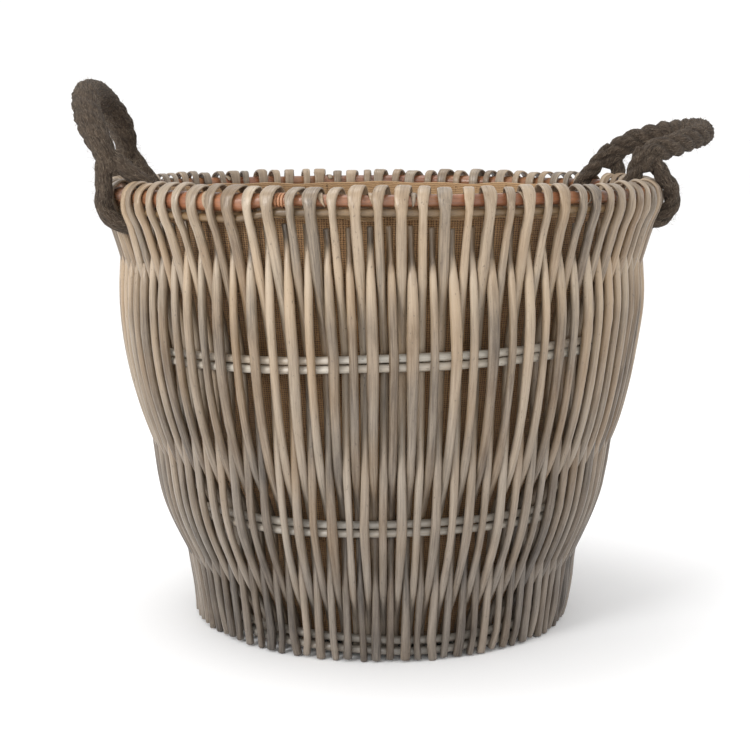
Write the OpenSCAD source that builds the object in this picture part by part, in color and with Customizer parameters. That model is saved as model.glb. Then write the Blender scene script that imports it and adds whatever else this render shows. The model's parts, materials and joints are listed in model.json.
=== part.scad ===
// Round willow basket with a hessian lining and two rope handles.
// Units are millimetres. The origin is on the floor under the middle of the basket,
// +Z is up and the two handles stand on the X axis.

/* [Basket] */
// Outer width over the willow at the rim
rim_d = 500; // [490:2:510]
// Height from the floor to the top of the willow at the rim
height = 400; // [390:5:420]

/* [Hoops and rings] */
// Thickness of the rod that forms the rim
hoop_d = 12.8; // [11:0.2:13]
// Thickness of the thin ring under the rim
under_ring_d = 6.4; // [5:0.2:6.4]
// Radius of the upper pair of rings
upper_ring_r = 222; // [221:0.5:224]
// Height of the upper pair of rings
upper_ring_z = 263.5; // [255:0.5:270]
// Radius of the lower pair of rings
lower_ring_r = 192; // [191:0.5:194]
// Height of the lower pair of rings
lower_ring_z = 124; // [118:0.5:128]
// Radius of the pair of rings round the base
base_ring_r = 162.5; // [162:0.5:164]
// Height of the upper ring round the base
base_ring_z = 18.5; // [17.5:0.5:21]

/* [Stakes] */
// Width of the flattened part of a stake that laps over the rim
lap_w = 8; // [6:0.5:8]
// Thickness of the flattened part
lap_t = 4; // [3:0.5:4]
// Radius of a stake halfway down the wall
stake_r = 3.9; // [3.2:0.1:3.9]

/* [Rope handles] */
// Radius of the rope
rope_r = 10.5; // [8:0.5:10.5]
// Radius of the rope where it is spliced into an eye
eye_rope_r = 8; // [6:0.5:8]
// Radius of a leg where it leaves its eye
leg_foot_r = 8.8; // [7:0.1:8.8]
// Radius of a leg at its knee
knee_r = 9.6; // [8.8:0.1:10]
// Radius of an eye, to the middle of its rope
eye_r = 21.5; // [21.5:0.5:24]
// Distance from the hinge line to the knee in a leg
knee_h = 36; // [34:1:40]
// How far the left handle leans outward from upright
left_lean = 19; // [0:1:60]
// Height of the left handle's arch above its knees
left_arch_h = 59; // [56:1:80]
// How far the legs of the right handle lean outward, up to their knees
right_foot_lean = 6; // [0:1:60]
// How far the right handle's arch leans outward from upright
right_lean = 71; // [0:1:80]
// Length of the right handle's arch beyond its knees
right_arch_h = 67; // [60:1:80]

/* [Lining] */
// Thickness of the hessian
cloth_t = 1.2; // [0.8:0.1:1.4]
// Depth of the sewn hem
hem_w = 14; // [10:1:16]

/* [Base] */
// Width of a base batten
batten_w = 26; // [20:1:34]
// Thickness of a base batten
batten_t = 7; // [6:0.5:7]
// Thickness of a willow rod in the base
base_rod_d = 7.2; // [6:0.2:7.2]

/* [Hidden] */
$fn = 48;
gap = 0.2;                       // clearance between willow that rests on willow
stakes = 90;                     // stakes in each of the two sets
pitch = 360 / stakes;
groups = 18;                     // nodes in each set
group_size = stakes / groups;
bulge = 0.15;                    // how much a bend swells past its two lengths

lap_gap = 0.6;                   // clearance between the rim rod and a lap
lap_in = hoop_d / 2 + lap_gap;   // inside radius of a lap
lap_out = lap_in + lap_t;
lap_rise = 3;                    // how far the middle of a lap stands above the rim rod's
lap_z = height - lap_out;
hoop_r = rim_d / 2 - lap_out;
hoop_z = lap_z - lap_rise;
lap_foot = 21;                   // how far the outer flat runs below the middle of a lap
lap_tail = 12;                   // how far the inner flat runs below it
stake_top_r = hoop_r + lap_in + 0.5;   // where the round part of a looped stake begins
under_ring_r = hoop_r + 2.5;
under_ring_drop = 2.3;           // clearance between the rim rod and the ring under it
under_ring_z = hoop_z - hoop_d / 2 - under_ring_drop - under_ring_d / 2;
tip_r = hoop_r - 4.6;            // where the upper tip of a foot stake stands
tip_z = under_ring_z - 3;
tip_tube = 2.8;
short_tip_z = 330;               // top of a foot stake that stops below a rope

ring_tube = 3.25;                // radius of the rods in the upper and lower pairs
ring_step = 7.4;                 // height between the two rods of a pair
base_tube = 3.7;                 // radius of the rods round the base
base_step = 9.3;

// where the two sets of stakes pass each other
cross_z = [335, 168, 64];
cross_r = [hoop_r - 6.8, 207.3, 177.3];
cross_stake_r = [3.95, 3.55, 3.0];
foot_stake_r = 3.7;
inner_end_r = 3.0;

// how far a stake stands off a ring, to its middle
upper_off = ring_tube + stake_r + gap;
lower_off = ring_tube + cross_stake_r[1] + gap;
base_off_out = base_tube + foot_stake_r + gap;
base_off_in = base_tube + inner_end_r + 1;
bend_shift = ring_step / 2 + 2;  // a stake inside a pair bends this far above its middle,
                                 // and a stake outside bends this far below it

// the ropes pass through the wall a whole number of stake gaps off the X axis
rope_gaps = 5;
rope_angle = rope_gaps * pitch;
hinge_drop = 4.3;                // an eye hangs on the rim rod with its middle this far below
hinge_x = hoop_r * cos(rope_angle);
hinge_y = hoop_r * sin(rope_angle);
hinge_z = hoop_z - hinge_drop;
push_aside = 1.95;               // how far a rope pushes the laps on its two sides, in degrees

arch_r = 66;                     // radius of the top of a handle
leg_foot = eye_r + 3.5;

batten_y = 84;                   // spacing of the base battens
batten_reach = 148;
rod_step = 9.6;
rod_reach = 149;
rods_each_side = 15;
rod_z = batten_t + 0.3 + base_rod_d / 2;
lining_z = rod_z + base_rod_d / 2 + 0.6;

lining_r = [150.3, 150.3, 179.6, 209.2, hoop_r - 14.5];
lining_h = [lining_z + cloth_t + gap, 26, 122, 262, lap_z - 17.5];
lining_top = len(lining_r) - 1;
hem_z = lining_h[lining_top] + gap;
hem_t = 2.4;
cut_r = eye_r + eye_rope_r + 2;  // the lining is cut back this far round each rope eye
cut_half = 14;

binding_angle = 244;             // where the two ends of the rim rod are bound
binding_tube = 1;
binding_step = 2.2;

looped_nodes = [for (i = [1:groups]) str("looped_stakes_", i < 10 ? "0" : "", i)];
foot_nodes = [for (i = [1:groups]) str("foot_stakes_", i < 10 ? "0" : "", i)];
other_nodes = ["rim_hoop", "hoop_binding", "under_rim_ring",
    "upper_ring_top", "upper_ring_bottom", "lower_ring_top", "lower_ring_bottom",
    "base_ring_top", "base_ring_bottom",
    "base_batten_front", "base_batten_middle", "base_batten_back", "base_rods",
    "liner_side", "liner_floor", "liner_hem", "handle_left", "handle_right"];

// a point from its radius, its angle round the basket and its height
function at(r, a, z) = [r * cos(a), r * sin(a), z];

// the signed angle from one direction to another, between -180 and 180
function turn(from, to) = (to - from + 540) % 360 - 180;

// the four directions in which a rope passes through the wall
rope_angles = [rope_angle, 180 - rope_angle, 180 + rope_angle, 360 - rope_angle];

// how far the nearest rope pushes a looped stake sideways at the rim
function push(a) =
    let (near = [for (r = rope_angles) if (abs(turn(r, a)) < pitch * 0.6) r])
    len(near) == 0 ? 0 : push_aside * sign(turn(near[0], a));

// true for a foot stake that stops below a rope
function under_rope(a) = min([for (r = rope_angles) abs(turn(r, a))]) < pitch * 1.5;

module limb(p, q, rp, rq) {
    d = q - p;
    len = norm(d);
    translate(p) rotate([0, acos(d[2] / len), atan2(d[1], d[0])]) cylinder(h = len, r1 = rp, r2 = rq);
}

// a willow stake through the given points, with a slight swelling at each bend
module stake(points, radii, first_bend) {
    last = len(points) - 1;
    for (i = [0:last - 1]) limb(points[i], points[i + 1], radii[i], radii[i + 1]);
    for (i = [first_bend:last - 1]) translate(points[i])
        rotate([0, 0, atan2(points[i][1], points[i][0]) + 90]) sphere(r = radii[i] + bulge);
}

module lap(a) {
    rotate([0, 0, a]) translate([hoop_r, 0, lap_z]) {
        rotate([90, 0, 0]) rotate_extrude(angle = 180)
            translate([lap_in, -lap_w / 2]) square([lap_t, lap_w]);
        translate([lap_in, -lap_w / 2, -lap_foot]) cube([lap_t, lap_w, lap_foot]);
        translate([-lap_out, -lap_w / 2, -lap_tail]) cube([lap_t, lap_w, lap_tail]);
    }
}

// laps over the rim, then passes inside, outside and inside the three pairs of rings
module looped_stake(a) {
    top = a + push(a);
    lap(top);
    stake([at(stake_top_r, top, lap_z - lap_foot),
           at(cross_r[0], a, cross_z[0]),
           at(upper_ring_r - upper_off, a, upper_ring_z - ring_step / 2 + bend_shift),
           at(cross_r[1], a, cross_z[1]),
           at(lower_ring_r + lower_off, a, lower_ring_z - ring_step / 2 - bend_shift),
           at(cross_r[2], a, cross_z[2]),
           at(base_ring_r - base_off_in, a, base_ring_z + 2),
           at(base_ring_r - base_off_in, a, 5)],
          [3.8, cross_stake_r[0], stake_r, cross_stake_r[1], cross_stake_r[1],
           cross_stake_r[2], inner_end_r, inner_end_r], 0);
}

// starts inside the rim, then passes outside, inside and outside the three pairs
// and stands on the floor
module foot_stake(a) {
    short = under_rope(a);
    body = [at(upper_ring_r + upper_off, a, upper_ring_z - ring_step / 2 - bend_shift),
            at(cross_r[1], a, cross_z[1]),
            at(lower_ring_r - lower_off, a, lower_ring_z - ring_step / 2 + bend_shift),
            at(cross_r[2], a, cross_z[2]),
            at(base_ring_r + base_off_out, a, base_ring_z - 2),
            at(base_ring_r + base_off_out, a, 0)];
    body_r = [stake_r, cross_stake_r[1], cross_stake_r[1], cross_stake_r[2], foot_stake_r, foot_stake_r];
    if (short)
        stake(concat([at(cross_r[0] - 0.2, a, short_tip_z)], body),
              concat([stake_r - 0.2], body_r), 1);
    else
        stake(concat([at(tip_r, a, tip_z), at(cross_r[0], a, cross_z[0])], body),
              concat([tip_tube, stake_r - 0.05], body_r), 1);
}

module looped_stakes(g) {
    color("burlywood") for (i = [0:group_size - 1]) looped_stake(((g - 1) * group_size + i + 0.5) * pitch);
}

module foot_stakes(g) {
    color("tan") for (i = [0:group_size - 1]) foot_stake(((g - 1) * group_size + i) * pitch);
}

module ring(r, z, tube) {
    translate([0, 0, z]) rotate_extrude() translate([r, 0]) circle(r = tube);
}

module rim_hoop() {
    color("sienna") ring(hoop_r, hoop_z, hoop_d / 2);
}

// turns of split cane round the lapped ends of the rim rod
module hoop_binding() {
    color("peru") rotate([0, 0, binding_angle]) translate([hoop_r, 0, hoop_z])
        for (i = [-1:1]) translate([0, i * binding_step, 0]) rotate([90, 0, 0])
            rotate_extrude() translate([hoop_d / 2 + binding_tube + gap, 0]) circle(r = binding_tube);
}

module under_rim_ring() {
    color("wheat") ring(under_ring_r, under_ring_z, under_ring_d / 2);
}

module upper_ring_top() {
    color("wheat") ring(upper_ring_r, upper_ring_z, ring_tube);
}

module upper_ring_bottom() {
    color("wheat") ring(upper_ring_r, upper_ring_z - ring_step, ring_tube);
}

module lower_ring_top() {
    color("wheat") ring(lower_ring_r, lower_ring_z, ring_tube);
}

module lower_ring_bottom() {
    color("wheat") ring(lower_ring_r, lower_ring_z - ring_step, ring_tube);
}

module base_ring_top() {
    color("darkkhaki") ring(base_ring_r, base_ring_z, base_tube);
}

module base_ring_bottom() {
    color("darkkhaki") ring(base_ring_r, base_ring_z - base_step, base_tube);
}

// a flat batten under the base, cut to the circle inside the stakes
module base_batten(y) {
    half = sqrt(pow(batten_reach, 2) - pow(abs(y) + batten_w / 2, 2));
    color("sienna") translate([-half, y - batten_w / 2, 0]) cube([2 * half, batten_w, batten_t]);
}

module base_batten_front() {
    base_batten(-batten_y);
}

module base_batten_middle() {
    base_batten(0);
}

module base_batten_back() {
    base_batten(batten_y);
}

// willow rods side by side across the battens
module base_rods() {
    color("burlywood") for (i = [-rods_each_side:rods_each_side]) {
        half = sqrt(pow(rod_reach, 2) - pow(abs(i) * rod_step + base_rod_d / 2, 2));
        translate([i * rod_step, half, rod_z]) rotate([90, 0, 0]) cylinder(h = 2 * half, d = base_rod_d);
    }
}

// the room that the lining leaves round each rope eye
module rope_clearance() {
    for (x = [-1, 1]) for (y = [-1, 1])
        translate([x * hinge_x, y * hinge_y + cut_half, hinge_z]) rotate([90, 0, 0])
            cylinder(h = 2 * cut_half, r = cut_r);
}

module liner_side() {
    wall = concat([for (i = [0:lining_top]) [lining_r[i], lining_h[i]]],
                  [for (i = [lining_top:-1:0]) [lining_r[i] - cloth_t, lining_h[i]]]);
    color("peru") difference() {
        rotate_extrude() polygon(wall);
        rope_clearance();
    }
}

module liner_floor() {
    color("peru") translate([0, 0, lining_z]) cylinder(h = cloth_t, r = lining_r[0] - gap);
}

module liner_hem() {
    color("peru") difference() {
        rotate_extrude() translate([lining_r[lining_top] + gap, hem_z]) square([hem_t, hem_w]);
        rope_clearance();
    }
}

// a rope with an eye spliced at each end: the legs rise from the eyes at foot_lean from
// upright as far as their knees, and the arch beyond the knees leans at arch_lean
module rope_handle(foot_lean, arch_lean, arch_h) {
    arch_up = arch_h - arch_r;
    reach = norm([hinge_y, arch_up]);
    touch = acos(arch_r / reach) - atan2(arch_up, hinge_y);
    knee_out = knee_h * sin(foot_lean);
    knee_up = knee_h * cos(foot_lean);
    for (s = [-1, 1]) {
        foot = [leg_foot * sin(foot_lean), s * hinge_y, leg_foot * cos(foot_lean)];
        knee = [knee_out, s * hinge_y, knee_up];
        translate([0, s * hinge_y, 0]) rotate([0, foot_lean, 0]) rotate([90, 0, 0])
            rotate_extrude() translate([eye_r, 0]) circle(r = eye_rope_r);
        translate(foot) sphere(r = leg_foot_r + bulge);
        limb(foot, knee, leg_foot_r, knee_r);
        translate(knee) sphere(r = knee_r + bulge);
    }
    translate([knee_out, 0, knee_up]) rotate([0, arch_lean, 0]) {
        for (s = [-1, 1]) {
            top = [0, s * arch_r * cos(touch), arch_up + arch_r * sin(touch)];
            limb([0, s * hinge_y, 0], top, knee_r, rope_r);
            translate(top) sphere(r = rope_r + bulge);
        }
        translate([0, 0, arch_up]) rotate([90, 0, 90]) rotate([0, 0, touch])
            rotate_extrude(angle = 180 - 2 * touch) translate([arch_r, 0]) circle(r = rope_r);
    }
}

module handle_right() {
    color("dimgray") translate([hinge_x, 0, hinge_z])
        rope_handle(right_foot_lean, right_lean, right_arch_h);
}

module handle_left() {
    color("dimgray") translate([-hinge_x, 0, hinge_z]) mirror([1, 0, 0])
        rope_handle(left_lean, left_lean, left_arch_h);
}

for (g = [1:groups]) {
    looped_stakes(g);
    foot_stakes(g);
}
rim_hoop();
hoop_binding();
under_rim_ring();
upper_ring_top();
upper_ring_bottom();
lower_ring_top();
lower_ring_bottom();
base_ring_top();
base_ring_bottom();
base_batten_front();
base_batten_middle();
base_batten_back();
base_rods();
liner_side();
liner_floor();
liner_hem();
handle_left();
handle_right();
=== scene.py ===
"""The looks of a round willow laundry basket with a hessian lining and two rope handles."""
import json
import math

import bpy
import numpy as np
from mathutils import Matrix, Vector


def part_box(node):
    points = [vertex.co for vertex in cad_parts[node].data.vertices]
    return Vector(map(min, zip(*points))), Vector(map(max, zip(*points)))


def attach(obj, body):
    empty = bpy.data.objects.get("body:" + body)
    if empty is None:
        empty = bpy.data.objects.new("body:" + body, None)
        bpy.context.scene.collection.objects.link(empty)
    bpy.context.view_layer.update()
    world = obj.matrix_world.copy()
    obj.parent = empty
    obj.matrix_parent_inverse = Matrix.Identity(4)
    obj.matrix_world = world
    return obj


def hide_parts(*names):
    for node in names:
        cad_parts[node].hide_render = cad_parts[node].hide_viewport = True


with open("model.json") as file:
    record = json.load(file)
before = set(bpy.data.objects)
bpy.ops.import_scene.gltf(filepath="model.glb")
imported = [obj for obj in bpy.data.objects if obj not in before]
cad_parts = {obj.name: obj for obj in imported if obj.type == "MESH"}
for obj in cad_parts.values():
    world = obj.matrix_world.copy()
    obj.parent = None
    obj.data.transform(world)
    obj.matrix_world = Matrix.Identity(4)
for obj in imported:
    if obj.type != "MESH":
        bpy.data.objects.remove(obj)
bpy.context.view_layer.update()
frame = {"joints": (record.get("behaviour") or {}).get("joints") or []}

MM = 0.001
TURN = 2 * math.pi
rng = np.random.default_rng(727)

# ---------------------------------------------------------------- places, read from the frame


def ring_of(node):
    """The radius, the height and the rod radius of a ring that the frame holds."""
    low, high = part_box(node)
    tube = (high.z - low.z) / 2
    return (high.x - low.x) / 2 - tube, (high.z + low.z) / 2, tube


HOOP_R, HOOP_Z, HOOP_TUBE = ring_of("rim_hoop")
UNDER_R, UNDER_Z, UNDER_TUBE = ring_of("under_rim_ring")
UPPER_R, UPPER_Z, RING_TUBE = ring_of("upper_ring_top")
LOWER_R, LOWER_Z, _ = ring_of("lower_ring_top")
BASE_R, BASE_Z, BASE_TUBE = ring_of("base_ring_top")
UPPER_STEP = UPPER_Z - ring_of("upper_ring_bottom")[1]
LOWER_STEP = LOWER_Z - ring_of("lower_ring_bottom")[1]
BASE_STEP = BASE_Z - ring_of("base_ring_bottom")[1]

JOINTS = {joint["name"]: joint for joint in frame["joints"]}
RIGHT_HINGE = Vector(JOINTS["right_rope_swing"]["pos_m"])
LEFT_HINGE = Vector(JOINTS["left_rope_swing"]["pos_m"])

STAKES = 90                       # stakes in each of the two sets
PITCH = TURN / STAKES
GROUP = 5                         # stakes in one piece
ROPE_ANGLE = 5 * PITCH            # from the X axis to where a rope passes through the wall
ROPE_ANGLES = [ROPE_ANGLE, math.pi - ROPE_ANGLE, math.pi + ROPE_ANGLE, TURN - ROPE_ANGLE]
HINGE_Y = HOOP_R * math.sin(ROPE_ANGLE)
SCARF = math.radians(244)         # where the thick and the thin end of the rim rod meet
THICK_END = 7.6 * MM
THIN_END = 4.6 * MM
SCARF_SHARE = 0.03                # share of the way round in which the thick end thins down to meet it
LAP_OUT = 9.6 * MM                # from the middle of the rim rod to the middle of a lap
LAP_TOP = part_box("looped_stakes_06")[1].z

# where the two sets of stakes pass each other, from the top down
CROSS_Z = (331 * MM, 168 * MM, 64 * MM)
CROSS_R = (231.6 * MM, 207.3 * MM, 177.3 * MM)

# from the middle of a ring to the middle of a stake that passes it
PAST_UPPER = 7.35 * MM
PAST_LOWER = 7.0 * MM
PAST_BASE_INSIDE = 7.7 * MM
PAST_BASE_OUTSIDE = 7.4 * MM
BEND_RISE = 3 * MM                # a stake inside a pair bends above its middle, one outside below it

# how far each pair of rings tips up towards one side, as the basket was woven by hand
TIP_TOWARDS = math.radians(-7)
UPPER_TIP, LOWER_TIP, BASE_TIP = 0.034, 0.012, -0.02
MOST_SKEW = 0.02                  # radians by which the stakes have slid round below the rim

# how far round from a rope the willow still keeps to its place
SKEW_REACH = math.radians(22)
WANDER_REACH = math.radians(9)


def tip(slope, radius, angle):
    """How far a tipped ring stands above its own middle height."""
    return slope * radius * np.cos(angle - TIP_TOWARDS)


def turn_between(start, end):
    """The signed angle from one direction to another."""
    return (end - start + math.pi) % TURN - math.pi


def hoop_at(angle):
    """The radius, height and rod radius of the rim hoop, which tapers all the way round."""
    share = ((SCARF - angle) % TURN) / TURN
    rod = THICK_END + (THIN_END - THICK_END) * share
    joint = np.clip(share / SCARF_SHARE, 0, 1)
    rod = THIN_END + (rod - THIN_END) * joint * joint * (3 - 2 * joint)
    return HOOP_R, HOOP_Z + HOOP_TUBE - rod, rod


def calm_by_ropes(angle, reach):
    """Falls from 1 to 0 towards each rope, where the willow keeps to its place."""
    gap = min(abs(turn_between(rope, angle)) for rope in ROPE_ANGLES)
    return 1 - math.exp(-((gap / reach) ** 2))


def skew(angle, heights):
    """How far round the stakes have slid between the rim and the upper rings."""
    most = MOST_SKEW * calm_by_ropes(angle, SKEW_REACH)
    share = np.clip((HOOP_Z - heights) / (HOOP_Z - UPPER_Z), 0, 1)
    return most * share


# ---------------------------------------------------------------- mesh tools


def unit(rows):
    """The same directions with a length of one."""
    return rows / np.maximum(np.linalg.norm(rows, axis=-1, keepdims=True), 1e-12)


def polar(radius, angle, height):
    """Points from their radius, their angle round the basket and their height."""
    return np.stack(np.broadcast_arrays(radius * np.cos(angle), radius * np.sin(angle), height), axis=-1)


def around(angle):
    """The direction round the basket at each angle."""
    return np.stack([-np.sin(angle), np.cos(angle), np.zeros_like(angle)], axis=-1)


def smooth(rows, steps, places):
    """Rows of a smooth curve through the given rows. The first columns are its place in space,
    and steps holds the spacing wanted in each stretch."""
    rows = np.asarray(rows, float)
    span = np.linalg.norm(np.diff(rows[:, :places], axis=0), axis=1)
    slope = np.diff(rows, axis=0) / span[:, None]
    inner = (slope[:-1] * span[1:, None] + slope[1:] * span[:-1, None]) / (span[1:] + span[:-1])[:, None]
    slope = np.vstack([slope[:1], inner, slope[-1:]])
    made = []
    for i, length in enumerate(span):
        count = max(1, math.ceil(length / steps[i]))
        t = np.arange(count)[:, None] / count
        made.append(
            rows[i] * (1 + 2 * t) * (1 - t) ** 2
            + slope[i] * length * t * (1 - t) ** 2
            + rows[i + 1] * t * t * (3 - 2 * t)
            + slope[i + 1] * length * t * t * (t - 1)
        )
    made.append(rows[-1:])
    return np.vstack(made)


def grid_quads(rings, sides, closed=False):
    """The quads of a tube made of rings of points, whose last ring may join its first."""
    i = np.arange(rings if closed else rings - 1)[:, None]
    j = np.arange(sides)[None, :]
    after = (i + 1) % rings
    beside = (j + 1) % sides
    corners = [i * sides + j, i * sides + beside, after * sides + beside, after * sides + j]
    return np.stack(corners, axis=-1).reshape(-1, 4)


def section(sides, power=2.0):
    """A round or squarish section as two rows of numbers from -1 to 1."""
    angle = np.arange(sides) * TURN / sides
    c, s = np.cos(angle), np.sin(angle)
    return np.sign(c) * np.abs(c) ** (2 / power), np.sign(s) * np.abs(s) ** (2 / power)


class Skin:
    """Collects swept skins, and makes one mesh object of them."""

    def __init__(self):
        self.points, self.faces, self.grain, self.tone = [], [], [], []
        self.count = 0

    def add(self, points, faces, grain, tone):
        self.points.append(points)
        self.faces += [[int(i) + self.count for i in face] for face in faces]
        self.grain.append(grain)
        self.tone.append(np.broadcast_to(tone, len(points)))
        self.count += len(points)

    def sweep(self, path, side, across, up, tone=0.5, closed=False, lip=0.4 * MM):
        """Sweeps a section along a path. side points across it, and across and up are the
        section's points in those two directions, one row of them for each point of the path."""
        path = np.asarray(path, float)
        if closed:
            ahead = np.roll(path, -1, axis=0) - np.roll(path, 1, axis=0)
        else:
            ahead = np.gradient(path, axis=0)
        ahead = unit(ahead)
        side = unit(side - (side * ahead).sum(1, keepdims=True) * ahead)
        normal = np.cross(ahead, side)
        length = np.concatenate([[0], np.cumsum(np.linalg.norm(np.diff(path, axis=0), axis=1))])
        start = rng.uniform(0, 40)
        if not closed:  # the cut ends have a softened edge
            path = np.vstack([path[:1] - ahead[:1] * lip, path, path[-1:] + ahead[-1:] * lip])
            side = np.vstack([side[:1], side, side[-1:]])
            normal = np.vstack([normal[:1], normal, normal[-1:]])
            across = np.vstack([across[:1] * 0.8, across, across[-1:] * 0.8])
            up = np.vstack([up[:1] * 0.8, up, up[-1:] * 0.8])
            length = np.concatenate([[-lip], length, [length[-1] + lip]])
        rings, sides = across.shape
        points = path[:, None] + side[:, None] * across[..., None] + normal[:, None] * up[..., None]
        grain = np.stack([across, up, np.broadcast_to((length + start)[:, None], across.shape)], axis=-1)
        faces = grid_quads(rings, sides, closed).tolist()
        if not closed:
            faces.append(list(range(sides - 1, -1, -1)))
            faces.append(list(range((rings - 1) * sides, rings * sides)))
        self.add(points.reshape(-1, 3), faces, grain.reshape(-1, 3), tone)
        return points, normal, ahead

    def piece(self, name, material, body, slot, *nodes):
        """Makes the mesh object, which rides on its body and stands for its nodes."""
        points = np.vstack(self.points)
        mesh = bpy.data.meshes.new(name)
        mesh.from_pydata(points.tolist(), [], self.faces)
        grain = mesh.attributes.new("grain", "FLOAT_VECTOR", "POINT")
        grain.data.foreach_set("vector", np.vstack(self.grain).astype(np.float32).ravel())
        tone = mesh.attributes.new("tone", "FLOAT", "POINT")
        tone.data.foreach_set("value", np.concatenate(self.tone).astype(np.float32))
        smooth_faces = [len(face) <= 4 for face in self.faces]
        mesh.polygons.foreach_set("use_smooth", smooth_faces)
        mesh.materials.append(material)
        mesh.update()
        made = bpy.data.objects.new(name, mesh)
        bpy.context.scene.collection.objects.link(made)
        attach(made, body)
        if nodes:
            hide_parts(*nodes)
        return made


# ---------------------------------------------------------------- materials


class Nodes:
    """Short names for the nodes of one material."""

    def __init__(self, name):
        self.material = bpy.data.materials.new(name)
        self.material.use_nodes = True
        self.tree = self.material.node_tree
        self.shader = self.tree.nodes["Principled BSDF"]

    def node(self, kind, inputs=None, **settings):
        made = self.tree.nodes.new(kind)
        for key, value in settings.items():
            setattr(made, key, value)
        for key, value in (inputs or {}).items():
            self.put(value, made.inputs[key])
        return made

    def put(self, value, socket):
        if isinstance(value, bpy.types.NodeSocket):
            self.tree.links.new(value, socket)
        else:
            socket.default_value = value

    def attribute(self, name, output):
        return self.node("ShaderNodeAttribute", attribute_name=name).outputs[output]

    def scaled(self, vector, scale):
        made = self.node("ShaderNodeMapping", {"Vector": vector, "Scale": scale})
        return made.outputs["Vector"]

    def noise(self, vector, scale, detail=3.0, roughness=0.55):
        inputs = {"Vector": vector, "Scale": scale, "Detail": detail, "Roughness": roughness}
        return self.node("ShaderNodeTexNoise", inputs).outputs["Fac"]

    def math(self, operation, a, b=0.0):
        made = self.node("ShaderNodeMath", {0: a, 1: b}, operation=operation)
        return made.outputs["Value"]

    def span(self, value, low, high, to_low=0.0, to_high=1.0):
        inputs = {"Value": value, "From Min": low, "From Max": high, "To Min": to_low, "To Max": to_high}
        return self.node("ShaderNodeMapRange", inputs).outputs["Result"]

    def mix(self, share, a, b, blend_type="MIX"):
        made = self.node("ShaderNodeMix", data_type="RGBA", blend_type=blend_type)
        self.put(share, made.inputs["Factor"])
        self.put(a, made.inputs[6])
        self.put(b, made.inputs[7])
        return made.outputs[2]

    def bump(self, height, distance, strength=1.0, normal=None):
        inputs = {"Height": height, "Distance": distance, "Strength": strength}
        if normal is not None:
            inputs["Normal"] = normal
        return self.node("ShaderNodeBump", inputs).outputs["Normal"]

    def finish(self, colour, roughness, normal, **constants):
        self.put(colour, self.shader.inputs["Base Color"])
        self.put(roughness, self.shader.inputs["Roughness"])
        self.put(normal, self.shader.inputs["Normal"])
        for key, value in constants.items():
            self.shader.inputs[key.replace("_", " ")].default_value = value
        return self.material


def rgb(r, g, b):
    """A linear colour from the usual 0 to 255 values."""
    return tuple(((c / 255) ** 2.2) for c in (r, g, b)) + (1.0,)


def willow(name, pale, dark, low_pale, low_dark, gloss=0.37):
    """Willow bark under a washed-out stain: streaks along the rod, blotches, specks and fine pale flecks."""
    n = Nodes(name)
    grain = n.attribute("grain", "Vector")
    tone = n.attribute("tone", "Fac")
    place = n.node("ShaderNodeTexCoord").outputs["Object"]
    height = n.node("ShaderNodeSeparateXYZ", {0: place}).outputs["Z"]
    streaks = n.noise(n.scaled(grain, (1, 1, 0.035)), 900, 4, 0.6)
    blotches = n.noise(n.scaled(grain, (1, 1, 0.25)), 90, 3, 0.6)
    fine = n.noise(n.scaled(grain, (1, 1, 0.3)), 2600, 3, 0.7)
    warmth = n.noise(n.scaled(grain, (0.5, 0.5, 1)), 7, 2, 0.5)
    specks = n.span(n.noise(n.scaled(grain, (1, 1, 0.5)), 620, 2, 0.5), 0.66, 0.73)
    low = n.span(n.math("ADD", height, n.span(blotches, 0.3, 0.7, -0.05, 0.05)), 0.06, 0.3, 1.0, 0.0)
    share = n.math("ADD", n.span(streaks, 0.3, 0.7, -0.05, 0.5), n.span(tone, -1, 1, -0.85, 0.65))
    share = n.math("ADD", share, n.span(blotches, 0.3, 0.7, -0.2, 0.2))
    share = n.span(share, 0, 1)
    top = n.mix(share, pale, dark)
    bottom = n.mix(share, low_pale, low_dark)
    colour = n.mix(low, top, bottom)
    warm = n.math("MULTIPLY", n.span(warmth, 0.42, 0.62, 0, 0.4), n.span(low, 0, 1, 1, 0.35))
    colour = n.mix(warm, colour, rgb(150, 118, 80))
    colour = n.mix(n.math("MULTIPLY", specks, 0.5), colour, rgb(46, 37, 30))
    colour = n.mix(n.span(fine, 0.55, 0.8, 0, 0.25), colour, rgb(196, 184, 165))
    rough = n.span(streaks, 0.3, 0.7, gloss - 0.12, gloss + 0.12)
    normal = n.bump(streaks, 0.35 * MM, 0.7)
    normal = n.bump(fine, 0.12 * MM, 0.5, normal)
    normal = n.bump(specks, -0.25 * MM, 0.5, normal)
    return n.finish(colour, rough, normal, Specular_IOR_Level=0.6)


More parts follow.
